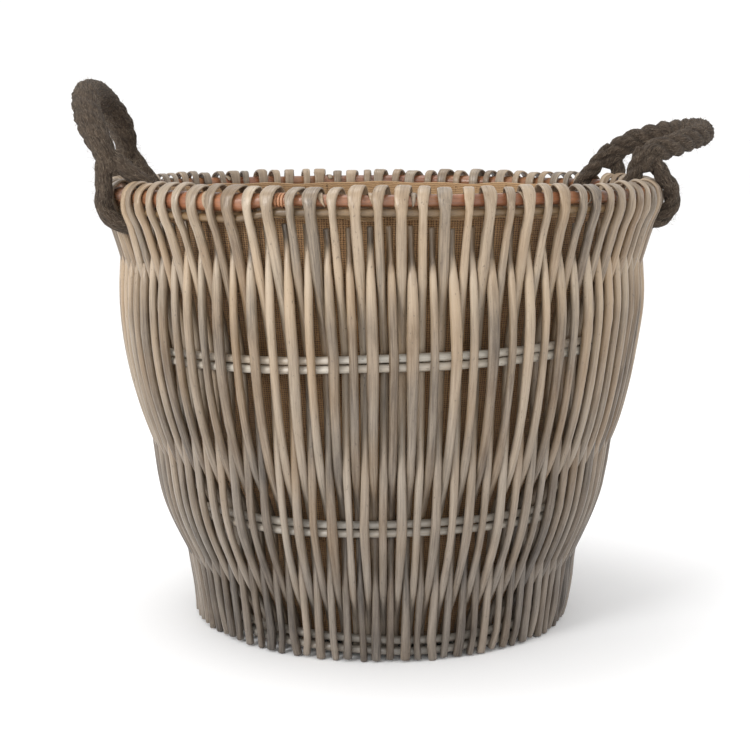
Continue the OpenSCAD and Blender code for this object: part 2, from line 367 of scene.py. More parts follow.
def hessian(name, light, mid, gap_shade_colour, pitch=1.8 * MM):
    """Plain-woven jute: over and under in both directions, with uneven yarns, and painted shade in the gaps
    between them.
    """
    n = Nodes(name)
    place = n.attribute("grain", "Vector")
    parts = n.node("ShaderNodeSeparateXYZ", {0: place})
    u, v = parts.outputs["X"], parts.outputs["Y"]
    long_u = n.noise(n.scaled(place, (0.02, 1, 1)), 420, 2, 0.5)
    long_v = n.noise(n.scaled(place, (1, 0.02, 1)), 420, 2, 0.5)
    u = n.math("ADD", n.math("DIVIDE", u, pitch), n.span(long_v, 0, 1, -0.35, 0.35))
    v = n.math("ADD", n.math("DIVIDE", v, pitch), n.span(long_u, 0, 1, -0.35, 0.35))
    over_u = n.math("ABSOLUTE", n.math("SINE", n.math("MULTIPLY", u, math.pi)))
    over_v = n.math("ABSOLUTE", n.math("SINE", n.math("MULTIPLY", v, math.pi)))
    checks = n.math("ADD", n.math("FLOOR", u), n.math("FLOOR", v))
    parity = n.math("PINGPONG", checks, 1.0)
    warp = n.math("MULTIPLY", n.math("POWER", over_u, 0.7), n.span(over_v, 0, 1, 0.45, 1.0))
    weft = n.math("MULTIPLY", n.math("POWER", over_v, 0.7), n.span(over_u, 0, 1, 0.45, 1.0))
    weave = n.math("ADD", n.math("MULTIPLY", warp, parity),
                   n.math("MULTIPLY", weft, n.math("SUBTRACT", 1.0, parity)))
    fibre = n.noise(place, 2600, 3, 0.7)
    patches = n.noise(place, 16, 3, 0.6)
    yarn = n.mix(n.span(fibre, 0.3, 0.7), mid, light)
    yarn = n.mix(n.span(patches, 0.3, 0.7, 0, 0.35), yarn, mid)
    yarn = n.mix(n.math("MULTIPLY", n.span(long_u, 0.55, 0.75), 0.4), yarn, light)
    yarn = n.mix(n.math("MULTIPLY", n.span(long_v, 0.55, 0.75), 0.4), yarn, light)
    # painted shade: the gaps between yarns and the dips where one yarn passes under another take the dark
    # gap colour
    colour = n.mix(n.span(weave, 0.18, 0.62), gap_shade_colour, yarn)
    normal = n.bump(weave, 0.5 * MM, 0.9)
    normal = n.bump(fibre, 0.12 * MM, 0.5, normal)
    return n.finish(colour, 0.92, normal, Sheen_Weight=0.25, Sheen_Roughness=0.5, Specular_IOR_Level=0.2)


def rope_fibre(name, light, mid, dark):
    """Dark coir-like rope: yarns along the rope, loose pale fibres, and deep grooves with painted shade in
    them.
    """
    n = Nodes(name)
    grain = n.attribute("grain", "Vector")
    tone = n.attribute("tone", "Fac")
    yarns = n.noise(n.scaled(grain, (1, 1, 0.16)), 640, 4, 0.72)
    fibres = n.noise(n.scaled(grain, (1, 1, 0.06)), 2200, 3, 0.7)
    patches = n.noise(grain, 60, 3, 0.6)
    colour = n.mix(n.span(yarns, 0.35, 0.7), dark, mid)
    colour = n.mix(n.span(fibres, 0.52, 0.75, 0, 0.8), colour, light)
    colour = n.mix(n.span(patches, 0.35, 0.7, 0, 0.35), colour, mid)
    # painted shade: where tone is low, in the grooves between strands, the rope is darkened
    colour = n.mix(n.math("MULTIPLY", n.span(tone, 0, 0.45, 1, 0), 0.7), colour, rgb(26, 22, 19))
    colour = n.mix(n.span(tone, 0.75, 1), colour, light)
    normal = n.bump(yarns, 1.6 * MM, 0.9)
    normal = n.bump(fibres, 0.6 * MM, 0.9, normal)
    return n.finish(colour, 0.85, normal, Sheen_Weight=0.04, Sheen_Roughness=0.5, Specular_IOR_Level=0.2)


def sawn_wood(name, pale, dark):
    """A sawn softwood batten."""
    n = Nodes(name)
    grain = n.attribute("grain", "Vector")
    lines = n.noise(n.scaled(grain, (1, 1, 0.03)), 420, 4, 0.6)
    fine = n.noise(n.scaled(grain, (1, 1, 0.08)), 2200, 3, 0.7)
    colour = n.mix(n.span(lines, 0.3, 0.7), pale, dark)
    colour = n.mix(n.span(fine, 0.5, 0.8, 0, 0.4), colour, dark)
    normal = n.bump(lines, 0.3 * MM, 0.6)
    return n.finish(colour, n.span(fine, 0.3, 0.7, 0.5, 0.75), normal)


BARK = willow("willow_bark", rgb(166, 149, 128), rgb(70, 60, 50), rgb(134, 124, 113), rgb(50, 44, 40))
RING_BARK = willow("ring_willow", rgb(214, 208, 196), rgb(152, 142, 126), rgb(150, 144, 135),
                   rgb(88, 82, 74), 0.34)
THIN_RING_BARK = willow("thin_ring_willow", rgb(112, 92, 66), rgb(58, 45, 32), rgb(100, 84, 62),
                        rgb(62, 50, 36), 0.38)
HOOP_BARK = willow("hoop_willow", rgb(162, 106, 76), rgb(96, 57, 39), rgb(124, 80, 58),
                   rgb(84, 52, 36), 0.3)
CANE = willow("binding_cane", rgb(188, 134, 98), rgb(122, 78, 52), rgb(140, 96, 70),
              rgb(92, 60, 42), 0.34)
# the last colour of each cloth is the painted shade in the gaps of its weave
HESSIAN = hessian("hessian_cloth", rgb(184, 148, 108), rgb(134, 98, 64), rgb(54, 35, 22))
HEM_CLOTH = hessian("hessian_hem", rgb(184, 152, 116), rgb(150, 117, 82), rgb(78, 56, 37))
ROPE = rope_fibre("rope_fibre", rgb(150, 135, 117), rgb(84, 72, 61), rgb(34, 28, 24))
BATTEN = sawn_wood("batten_wood", rgb(176, 134, 96), rgb(126, 86, 56))


# ---------------------------------------------------------------- willow rods


def knobbly(rows, sides, thick, power=2.1):
    """The section of a natural rod along its length, uneven, with a few swollen knots.
    The last two columns of rows are its half width and half thickness."""
    count = len(rows)
    across, up = section(sides, power)
    along = np.linspace(0, 1, count)
    swell = np.ones(count)
    for place in rng.uniform(0.05, 0.95, rng.integers(2, 5)):
        swell += rng.uniform(0.05, 0.13) * np.exp(-(((along - place) / 0.008) ** 2))
    swell += 0.025 * np.sin(TURN * (along * rng.uniform(2, 5) + rng.uniform()))
    lean = rng.uniform(0, TURN, 2)
    angle = np.arange(sides)[None, :] * TURN / sides
    uneven = (
        1
        + 0.035 * np.sin(2 * angle + lean[0] + 9 * along[:, None])
        + 0.025 * np.sin(3 * angle + lean[1] - 7 * along[:, None])
        + rng.normal(0, 0.006, (count, sides))
    )
    uneven = uneven * swell[:, None] * thick
    return rows[:, -2:-1] * across * uneven, rows[:, -1:] * up * uneven


PUSH_ASIDE = math.radians(1.95)   # how far a rope pushes the stakes on both sides of it


def rope_push(angle):
    """How far a rope beside it pushes a looped stake sideways at the rim."""
    for rope in ROPE_ANGLES:
        gap = turn_between(rope, angle)
        if abs(gap) < 0.6 * PITCH:
            return math.copysign(PUSH_ASIDE, gap)
    return 0.0


def near_rope(angle):
    """True for a foot stake that stops below a rope."""
    return min(abs(turn_between(rope, angle)) for rope in ROPE_ANGLES) < 1.5 * PITCH


def wander(rows, calm):
    """Uneven spacing of a stake: a little at the rings, almost none where stakes pass."""
    heights = [0, BASE_Z, CROSS_Z[2], LOWER_Z, CROSS_Z[1], UPPER_Z, CROSS_Z[0], HOOP_Z]
    room = np.array([2.0, 1.5, 0.3, 1.4, 0.4, 1.5, 0.5, 1.6]) * calm
    steps = np.clip(rng.normal(0, 0.6, len(heights)), -1, 1) * room * MM
    return np.interp(rows[:, 1], heights, steps)


def pair_heights(angle):
    """The heights at which a stake passes the pairs of rings."""
    upper = UPPER_Z - UPPER_STEP / 2 + tip(UPPER_TIP, UPPER_R, angle)
    lower = LOWER_Z - LOWER_STEP / 2 + tip(LOWER_TIP, LOWER_R, angle)
    base = BASE_Z - BASE_STEP / 2 + tip(BASE_TIP, BASE_R, angle)
    return upper, lower, base


def looped_stake(skin, number):
    """Weaves inside, outside and inside the three pairs of rings, and laps over the rim. The
    columns of rows are its radius, its height, its half width and its half thickness."""
    angle = (number + 0.5) * PITCH
    shift = rope_push(angle)
    calm = calm_by_ropes(angle, WANDER_REACH)
    stout = number % 2 == 0
    width = (1.06 if stout else 0.78) * rng.uniform(0.94, 1.06)
    thick = (1.0 if stout else 0.84) * rng.uniform(0.95, 1.04)
    lap_width = 0.74 if shift else width
    _, hoop_z, rod = hoop_at(angle + shift)
    flat_t = rng.uniform(1.35, 1.7) * MM
    upper, lower, base = pair_heights(angle)
    rows = [
        (BASE_R - PAST_BASE_INSIDE, 5 * MM, 3.0 * MM, 2.9 * MM),
        (BASE_R - PAST_BASE_INSIDE, base + 5 * MM, 3.0 * MM, 2.9 * MM),
        (CROSS_R[2], CROSS_Z[2], 3.05 * MM, 3.1 * MM),
        (LOWER_R + PAST_LOWER, lower - BEND_RISE, 3.9 * MM * width, 3.5 * MM * thick),
        (CROSS_R[1], CROSS_Z[1], 3.5 * MM, 3.5 * MM * thick),
        (UPPER_R - PAST_UPPER, upper + BEND_RISE, 4.2 * MM * width, 3.8 * MM * thick),
        (CROSS_R[0], CROSS_Z[0], 3.95 * MM * (0.45 + 0.55 * width), 3.8 * MM * thick),
        (CROSS_R[0] + 9.0 * MM, CROSS_Z[0] + 29 * MM, 4.2 * MM * width, 3.5 * MM * thick),
    ]
    below_lap = len(rows)
    rise = LAP_TOP - flat_t - rng.uniform(0.0, 2.2) * MM - hoop_z
    fold = rng.uniform(0.05, 0.3)
    most = max(LAP_OUT, rod + 0.5 * MM + flat_t)
    # the lap, as shares of its reach and its rise, with its width and its flatness
    for out, up, wide, flat in (
        (0.97, -0.40, 1.02, 2.0), (1.00, 0.02, 1.16, 1.35), (0.88, 0.40 + fold * 0.3, 1.26, 1.0),
        (0.50, 0.80, 1.26, 0.95), (0.10, 0.97, 1.22, 0.95), (-0.30, 1.00, 1.18, 0.95),
        (-0.72, 0.78, 1.12, 0.95), (-0.98, 0.28, 1.06, 1.0), (-1.0, -0.45, 1.0, 0.95),
        (-0.98, -1.0, 0.75, 0.8),
    ):
        rows.append((HOOP_R + most * out, hoop_z + rise * up, 4.3 * MM * lap_width * wide, flat_t * flat))
    steps = [8 * MM] * 6 + [6 * MM, 4 * MM] + [1.5 * MM] * (len(rows) - below_lap)
    rows = smooth(rows, steps, 2)
    sideways = wander(rows, calm)
    inward = np.clip((HOOP_R + most - rows[:, 0]) / (2 * most), 0, 1) * (rows[:, 1] > hoop_z - 2 * rod)
    inward = inward * (rows[:, 0] < HOOP_R + most * 0.97) * (rows[:, 1] > CROSS_Z[0] + 20 * MM)
    sideways += inward * rng.normal(4.2, 1.6) * MM * calm
    rim = np.clip((rows[:, 1] - CROSS_Z[0]) / (hoop_z - CROSS_Z[0]), 0, 1)
    angles = angle + shift * rim + skew(angle, rows[:, 1]) + sideways / rows[:, 0]
    path = polar(rows[:, 0], angles, rows[:, 1])
    across, up = knobbly(rows, 14, 1.0)
    flat = np.clip((3.0 * MM - rows[:, 3]) / (1.2 * MM), 0, 1)[:, None]
    groove = rng.uniform(0.1, 0.4)
    up -= np.sign(up) * flat * groove * rows[:, 3:4] * np.exp(-((across / (0.35 * rows[:, 2:3])) ** 2))
    skin.sweep(path, around(angles), across, up, rng.beta(1.6, 1.6))


def foot_stake(skin, number):
    """Starts inside the rim, weaves the other way, and stands on the floor. Near its top it narrows to a
    wedge painted paler, as painted light where it stands out into the light, and its very top is painted
    dark, as painted shade behind the looped stakes. The columns of rows are those of a looped stake."""
    angle = number * PITCH
    stout = number % 2 == 1
    width = (1.06 if stout else 0.8) * rng.uniform(0.94, 1.06)
    thick = (1.0 if stout else 0.86) * rng.uniform(0.95, 1.04)
    upper, lower, base = pair_heights(angle)
    splay = rng.uniform(-2.2, 0.6) * MM
    wedge = rng.uniform(343, 360) * MM
    high = UPPER_Z + 0.45 * (CROSS_Z[0] - UPPER_Z)
    rows = [
        (BASE_R + 6.2 * MM + splay, rng.uniform(1.2, 3.4) * MM, 3.7 * MM * width, 3.5 * MM * thick),
        (BASE_R + PAST_BASE_OUTSIDE, base, 3.7 * MM * width, 3.6 * MM * thick),
        (CROSS_R[2], CROSS_Z[2], 3.05 * MM, 3.1 * MM),
        (LOWER_R - PAST_LOWER, lower + BEND_RISE, 3.7 * MM * width, 3.5 * MM * thick),
        (CROSS_R[1], CROSS_Z[1], 3.5 * MM, 3.5 * MM * thick),
        (UPPER_R + PAST_UPPER, upper - BEND_RISE, 4.3 * MM * width, 3.8 * MM * thick),
        (CROSS_R[0] + 1.0 * MM, high, 4.35 * MM * width, 3.8 * MM * thick),
    ]
    if near_rope(angle):
        rows.append((CROSS_R[0] - 0.2 * MM, CROSS_Z[0] - 9 * MM, 3.4 * MM * width, 3.2 * MM * thick))
        rows.append((CROSS_R[0] - 0.4 * MM, CROSS_Z[0] - 1 * MM, 1.4 * MM, 1.6 * MM))
    else:
        neck = 3.3 * MM * (0.45 + 0.55 * width)
        rows.append((CROSS_R[0] - 0.6 * MM, CROSS_Z[0], neck, 3.4 * MM * thick))
        rows.append((HOOP_R - 9.0 * MM, wedge, 2.5 * MM, 1.8 * MM))
        rows.append((HOOP_R - 6.5 * MM, UNDER_Z - rng.uniform(5, 9) * MM, 2.5 * MM, 1.6 * MM))
    rows = smooth(rows, [4 * MM] + [8 * MM] * len(rows), 2)
    angles = angle + skew(angle, rows[:, 1]) + wander(rows, 1.0) / rows[:, 0]
    path = polar(rows[:, 0], angles, rows[:, 1])
    sides = 14
    across, up = knobbly(rows, sides, 1.0)
    # painted light: the stake is made paler up to the wedge; painted shade: above the wedge it is made dark,
    # behind the looped stakes
    painted_light_share = np.clip((rows[:, 1] - CROSS_Z[0] + 45 * MM) / (60 * MM), 0, 1)
    shaded = np.clip((rows[:, 1] - wedge + 14 * MM) / (16 * MM), 0, 1)
    tone = rng.beta(1.3, 1.3) - 1.1 * painted_light_share + 2.0 * shaded
    tone = np.repeat(np.concatenate([tone[:1], tone, tone[-1:]]), sides)
    skin.sweep(path, around(angles), across, up, tone)


for group in range(STAKES // GROUP):
    looped, foot = Skin(), Skin()
    for member in range(GROUP):
        looped_stake(looped, group * GROUP + member)
        foot_stake(foot, group * GROUP + member)
    tag = f"{group + 1:02d}"
    looped.piece(f"willow_looped_{tag}", BARK, "basket", "willow", f"looped_stakes_{tag}")
    foot.piece(f"willow_foot_{tag}", BARK, "basket", "willow", f"foot_stakes_{tag}")


def rod_ring(name, node, material, radius, height, tube, slope, phase, wave=0.5 * MM):
    """A rod bent into a ring, slightly wavy, and tipped as it was woven. Its height is a number
    or a function of the angle."""
    angles = np.arange(540) * TURN / 540
    wavy = sum(math.sin(k * 1.7 + phase) * np.sin(k * angles + phase * k) for k in (2, 3, 5, 8)) * wave
    heights = (height(angles) if callable(height) else height) + tip(slope, radius, angles) + wavy
    radii = radius + 0.25 * MM * np.sin(7 * angles + phase)
    thick = tube * (1 + 0.05 * np.sin(angles + phase * 2) + 0.02 * np.sin(11 * angles))
    across, up = section(14)
    skin = Skin()
    outward = polar(1.0, angles, 0.0)
    skin.sweep(polar(radii, angles, heights), outward, thick[:, None] * across, thick[:, None] * up,
               0.3, closed=True)
    skin.piece(name, material, "basket", "ring_willow", node)


def under_height(angles):
    """The thin ring hangs close below the rim rod, whose underside rises as it tapers."""
    _, heights, rods = hoop_at(angles)
    return heights - rods - UNDER_TUBE - 1.2 * MM


rod_ring("ring_under_rim", "under_rim_ring", THIN_RING_BARK, UNDER_R, under_height, UNDER_TUBE, 0.0, 0.4,
         wave=0.3 * MM)
for pair, radius, height, step, tube, slope, phase in (
    ("upper", UPPER_R, UPPER_Z, UPPER_STEP, RING_TUBE, UPPER_TIP, 1.1),
    ("lower", LOWER_R, LOWER_Z, LOWER_STEP, RING_TUBE, LOWER_TIP, 2.3),
    ("base", BASE_R, BASE_Z, BASE_STEP, BASE_TUBE, BASE_TIP, 3.2),
):
    rod_ring(f"ring_{pair}_top", f"{pair}_ring_top", RING_BARK, radius, height, tube, slope, phase)
    rod_ring(f"ring_{pair}_bottom", f"{pair}_ring_bottom", RING_BARK, radius, height - step, tube, slope,
             phase + 0.05)


def rim_rod():
    """The thick rod of the rim, which tapers all the way round to its scarf."""
    angles = np.arange(720) * TURN / 720
    radius, heights, rods = hoop_at(angles)
    heights = heights + 0.3 * MM * np.sin(5 * angles + 1)
    uneven = 1 + 0.012 * np.sin(23 * angles) + 0.01 * np.sin(41 * angles + 2)
    across, up = section(22)
    skin = Skin()
    skin.sweep(polar(radius, angles, heights), polar(1.0, angles, 0.0), (rods * uneven)[:, None] * across,
               (rods * uneven)[:, None] * up, 0.45, closed=True)
    skin.piece("rim_rod", HOOP_BARK, "basket", "rim_rod", "rim_hoop")


def rim_binding():
    """Split cane wound round the two lapped ends of the rim rod."""
    count = 110
    turns = np.linspace(-0.4, 2.9, count)
    angles = SCARF + (turns - 1.25) * 2.6 * MM / HOOP_R
    radius, heights, rods = hoop_at(SCARF - 0.035)
    wound = TURN * turns
    reach = rods + 0.45 * MM
    path = polar(radius + reach * np.cos(wound), angles, heights + reach * np.sin(wound))
    across, up = section(10, 2.6)
    skin = Skin()
    skin.sweep(path, around(angles), np.tile(1.05 * MM * across, (count, 1)),
               np.tile(0.45 * MM * up, (count, 1)), 0.3)
    skin.piece("rim_binding", CANE, "basket", "rim_rod", "hoop_binding")


# where thin ends of willow cross the rim rod: degrees round it, and how far each slides sideways
TAILS = (
    (251, 6.5), (260.5, 4.0), (268.5, -0.8), (289, 2.5), (306, -4), (228, 4),
    (47, 5), (71, -4), (96, 3), (124, 5), (143, -3),
)


def rim_tails():
    """Thin pointed ends of willow that come over the rim rod and cross its front."""
    skin = Skin()
    count = 26
    for degrees, slide in TAILS:
        angle = math.radians(degrees)
        _, height, rod = hoop_at(angle)
        bent = np.radians(np.linspace(150, -62, count))
        share = np.linspace(0, 1, count)
        reach = rod + 0.75 * MM
        angles = angle + slide * MM * share**1.3 / HOOP_R
        path = polar(HOOP_R + reach * np.cos(bent), angles, height + reach * np.sin(bent))
        half = (2.3 * MM * (1 - share**2.2) + 0.25 * MM)[:, None]
        across, up = section(10, 2.4)
        skin.sweep(path, around(angles), half * across, np.tile(0.5 * MM * up, (count, 1)),
                   rng.uniform(0, 0.4))
    skin.piece("rim_tails", BARK, "basket", "willow")


rim_rod()
rim_binding()
rim_tails()


# ---------------------------------------------------------------- base


def base():
    """Willow rods side by side across three battens."""
    rods = Skin()
    low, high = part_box("base_rods")
    radius = (high.z - low.z) / 2
    reach = high.y
    rod_count, points_along = 31, 30
    shortest = 20 * MM
    for x in np.linspace(low.x + radius, high.x - radius, rod_count):
        half = math.sqrt(max(reach**2 - (abs(x) + radius) ** 2, shortest**2))
        y = np.linspace(-half, half, points_along)
        taper = np.linspace(1.0, 0.88, points_along)[:: rng.choice([-1, 1])]
        rows = np.stack([y, y * 0, radius * taper, radius * taper], axis=1)
        path = np.stack([x + rng.normal(0, 0.15) * MM * np.sin(y * 30), y, y * 0 + (low.z + high.z) / 2],
                        axis=-1)
        across, up = knobbly(rows, 12, 0.96)
        rods.sweep(path, np.tile([1.0, 0, 0], (points_along, 1)), across, up, rng.uniform())
    rods.piece("base_willow_rods", BARK, "basket", "willow", "base_rods")
    for side in ("front", "middle", "back"):
        low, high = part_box(f"base_batten_{side}")
        x = np.linspace(low.x + 0.6 * MM, high.x - 0.6 * MM, 40)
        half_w = (high.y - low.y) / 2 * (1 + 0.006 * np.sin(x * 60 + low.y * 40))
        half_t = (high.z - low.z) / 2 * np.ones_like(x)
        path = np.stack([x, x * 0 + (low.y + high.y) / 2, x * 0 + (low.z + high.z) / 2], axis=-1)
        across, up = section(28, 9)
        skin = Skin()
        skin.sweep(path, np.tile([0, 1.0, 0], (40, 1)), half_w[:, None] * across, half_t[:, None] * up,
                   0.5, lip=0.6 * MM)
        skin.piece(f"batten_{side}", BATTEN, "basket", "batten", f"base_batten_{side}")


base()

# ---------------------------------------------------------------- hessian lining

LINING_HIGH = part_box("liner_side")[1]
HEM_LOW, HEM_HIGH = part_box("liner_hem")
FLOOR_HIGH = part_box("liner_floor")[1]
LINING_FOOT_R = 150.0 * MM
LINING_TOP_R = LINING_HIGH.x
CLOTH = 1.0 * MM                  # thickness of the cloth
WEAVE_R = 0.19                    # radius at which the weave keeps its true width round the side
DIP_ANGLE = math.asin(HINGE_Y / LINING_TOP_R)
DIP_DEPTH = 37 * MM
DIP_HALF = 23.5 * MM


def lining_top(angles):
    """The height of the lining's top edge, which dips under each rope and waves a little."""
    height = HEM_HIGH.z + 0.7 * MM * np.sin(9 * angles + 1) + 0.6 * MM * np.sin(23 * angles)
    dip = np.zeros_like(angles)
    for rope in (DIP_ANGLE, math.pi - DIP_ANGLE, math.pi + DIP_ANGLE, -DIP_ANGLE):
        away = turn_between(rope, angles) * LINING_TOP_R
        dip = np.maximum(dip, np.exp(-((away / DIP_HALF) ** 4)))
    return height - 1.2 * MM - DIP_DEPTH * dip


def lining_radius(heights):
    """The lining's radius at each height, just inside the willow."""
    places = [FLOOR_HIGH.z, 26 * MM, 122 * MM, 262 * MM, LINING_HIGH.z, HEM_HIGH.z]
    radii = [LINING_FOOT_R, 151 * MM, 179.3 * MM, 208.9 * MM, LINING_TOP_R, 225.6 * MM]
    return np.interp(heights, places, radii)


def soft_folds(angles, heights):
    """How far the cloth stands in from the willow, in slack upright folds."""
    rise = np.clip((heights - FLOOR_HIGH.z) / (LINING_HIGH.z - FLOOR_HIGH.z), 0, 1)
    folds = np.zeros(np.broadcast(angles, heights).shape)
    for waves, lean, phase, size in ((7, 1.3, 0.2, 1.0), (13, -2.1, 1.9, 0.8), (22, 3.0, 4.1, 0.55),
                                     (37, -1.0, 0.8, 0.35), (61, 2.0, 2.2, 0.18)):
        folds = folds + size * np.sin(waves * angles + lean * rise * 3 + phase + 0.8 * np.sin(3 * angles))
    slack = 0.35 + 1.0 * np.sin(math.pi * rise) ** 1.0
    return (folds + 2.9) * 0.75 * MM * slack


def lining_side():
    """The side of the lining, two layers a cloth's thickness apart and joined at both edges."""
    columns, rows = 600, 76
    angles = np.arange(columns) * TURN / columns
    share = np.linspace(0, 1, rows)[:, None]
    foot = FLOOR_HIGH.z + 0.2 * MM
    heights = foot + share * (lining_top(angles)[None, :] - foot)
    radii = lining_radius(heights) - soft_folds(angles[None, :], heights) * (1 - share**8)
    outer = polar(radii, np.broadcast_to(angles, heights.shape), heights)
    inner = polar(radii - CLOTH, np.broadcast_to(angles, heights.shape), heights)
    skin = Skin()
    quads = grid_quads(rows, columns)
    shift = rows * columns
    faces = quads.tolist() + (quads[:, ::-1] + shift).tolist()
    for k in range(columns):
        after = (k + 1) % columns
        faces.append([after, k, k + shift, after + shift])
        top = (rows - 1) * columns
        faces.append([top + k, top + after, top + after + shift, top + k + shift])
    wide = np.broadcast_to(angles, heights.shape) * WEAVE_R
    grain = np.stack([wide, heights * 1.02, heights * 0], axis=-1).reshape(-1, 3)
    skin.add(np.vstack([outer.reshape(-1, 3), inner.reshape(-1, 3)]), faces, np.vstack([grain, grain]), 0.5)
    return skin.piece("lining_side", HESSIAN, "basket", "hessian", "liner_side")


def lining_hem():
    """The top edge turned in and sewn, a flat double band that follows the dips."""
    count = 900
    angles = np.arange(count) * TURN / count
    top = lining_top(angles)
    depth = HEM_HIGH.z - HEM_LOW.z
    heights = top - depth / 2 + 1.4 * MM
    radii = lining_radius(heights) - 0.9 * MM + 0.5 * MM * np.sin(31 * angles) * np.sin(7 * angles + 1)
    path = polar(radii, angles, heights)
    ahead = unit(np.roll(path, -1, axis=0) - np.roll(path, 1, axis=0))
    outward = unit(polar(1.0, angles, 0.0) - np.array([0, 0, 0.09]))
    side = np.cross(ahead, outward)
    across, up = section(22, 4.5)
    half_w = depth / 2 * (1 + 0.03 * np.sin(17 * angles))
    half_t = 1.25 * MM * (1 + 0.12 * np.sin(53 * angles))
    skin = Skin()
    puckers = 1 + 0.16 * np.sin(angles * 300)[:, None] * np.exp(-(((across[None, :] + 0.55) / 0.2) ** 2))
    skin.sweep(path, side, half_w[:, None] * across, half_t[:, None] * up * puckers, 0.5, closed=True)
    return skin.piece("lining_hem", HEM_CLOTH, "basket", "hessian", "liner_hem")


def lining_floor():
    """The round floor of the lining, lying over the ridges of the base rods."""
    rings, columns = 60, 240
    angles = np.arange(columns) * TURN / columns
    radii = np.linspace(1.5 * MM, LINING_FOOT_R - 0.6 * MM, rings)
    x = radii[:, None] * np.cos(angles)
    y = radii[:, None] * np.sin(angles)
    ridges = 0.25 * MM * np.cos(TURN * x / (9.6 * MM))
    slack = 0.9 * MM * (np.sin(x * 38 + 1) * np.sin(y * 31 + 2) + 1)
    top = FLOOR_HIGH.z + ridges + slack
    upper = np.stack([x, y, top], axis=-1).reshape(-1, 3)
    lower = np.stack([x, y, top - CLOTH], axis=-1).reshape(-1, 3)
    quads = grid_quads(rings, columns)[:, [0, 3, 2, 1]]
    shift = rings * columns
    faces = quads.tolist() + (quads[:, ::-1] + shift).tolist()
    outer = (rings - 1) * columns
    for k in range(columns):
        after = (k + 1) % columns
        faces.append([outer + k, outer + k + shift, outer + after + shift, outer + after])
    faces.append(list(range(columns)))
    faces.append([shift + k for k in range(columns - 1, -1, -1)])
    skin = Skin()
    grain = np.stack([x, y, x * 0], axis=-1).reshape(-1, 3)
    skin.add(np.vstack([upper, lower]), faces, np.vstack([grain, grain]), 0.5)
    return skin.piece("lining_floor", HESSIAN, "basket", "hessian", "liner_floor")


side_cloth = lining_side()
hem_cloth = lining_hem()
floor_cloth = lining_floor()

# ---------------------------------------------------------------- rope handles

ROPE_R = 10.8 * MM
EYE_R = 20.4 * MM                 # of an eye, to the middle of its rope
EYE_ROPE_R = 7.6 * MM
LAY = 44 * MM                     # length of one turn of a strand
LEG_RADII = (7.2 * MM, 9.0 * MM, 10.4 * MM)  # at the first points of a leg, next to its eye
FIBRES = 520                      # loose fibres on each leg and eye


def strands(sides, twist, radius, softened):
    """The three-lobed section of a laid rope, turned by twist at each point of its path, and a tone that
    paints shade in its grooves.
    """
    angle = np.arange(sides) * TURN / sides
    strand = 0.515
    reach = 1 - strand
    local = (angle[None, :] - twist[:, None] + TURN / 6) % (TURN / 3) - TURN / 6
    lobe = reach * np.cos(local) + np.sqrt(np.maximum(strand**2 - (reach * np.sin(local)) ** 2, 0))
    depth = np.clip((lobe - 0.66) / 0.3, 0, 1)
    lobe = softened * 0.96 + (1 - softened) * lobe
    yarns = 0.022 * np.cos(21 * angle[None, :] - 5 * twist[:, None]) * (0.6 + 0.4 * np.cos(3 * local))
    bumps = rng.normal(0, 0.02, lobe.shape)
    bumps = (bumps + np.roll(bumps, 1, axis=0) + np.roll(bumps, -1, axis=0)) / 1.7
    size = (lobe + yarns + bumps) * radius[:, None]
    # the third row is a tone that is low in the grooves between strands, where the rope material paints
    # shade; spread strands get less of it
    return size * np.cos(angle), size * np.sin(angle), 0.6 - 0.55 * (1 - depth) * (1 - 0.8 * softened)


def laid_rope(skin, rows, start_turn, softened):
    """Sweeps a laid rope along a smooth path. The last column of rows is its radius, and
    softened is how far its worn strands have spread into one another."""
    path, radius = rows[:, :3], rows[:, 3]
    length = np.concatenate([[0], np.cumsum(np.linalg.norm(np.diff(path, axis=0), axis=1))])
    twist = TURN * (length / LAY + start_turn) + 0.35 * np.sin(length * 45)
    across, up, tone = strands(84, twist, radius, softened)
    side = np.tile([1.0, 0.0, 0.0], (len(path), 1))
    ahead = unit(np.gradient(path, axis=0))
    side[0] = np.cross(ahead[0], [0, 1.0, 0.02])
    for k in range(1, len(path)):
        side[k] = side[k - 1] - (side[k - 1] @ ahead[k]) * ahead[k]
        side[k] /= np.linalg.norm(side[k])
    tone = np.vstack([tone[:1], tone, tone[-1:]]).ravel()
    return skin.sweep(path, side, across, up, tone, lip=1.0 * MM)


def fuzz(skin, points, count):
    """Loose fibres standing off the rope."""
    rings, sides, _ = points.shape
    for _ in range(count):
        k = rng.integers(4, rings - 4)
        j = rng.integers(0, sides)
        start = points[k, j]
        out = unit(start - points[k].mean(axis=0))
        ahead = unit(points[k + 3].mean(axis=0) - points[k - 3].mean(axis=0))
        swing = rng.normal(0, 1, 3)
        first = unit(0.5 * out + ahead * rng.choice([-1, 1]) * rng.uniform(0.5, 1.3) + 0.3 * swing)
        later = unit(first + 0.5 * out + 0.6 * rng.normal(0, 1, 3))
        reach = rng.uniform(2.5, 9) * MM
        t = np.linspace(0, 1, 5)[:, None]
        path = start - out * 0.4 * MM + first * reach * t + (later - first) * reach * t * t * 0.6
        thin = 0.1 * MM * (1 - 0.7 * t)
        across, up = section(3)
        skin.sweep(path, np.tile(np.cross(first, out + 0.01), (5, 1)), thin * across, thin * up, 1.0,
                   lip=0.02 * MM)


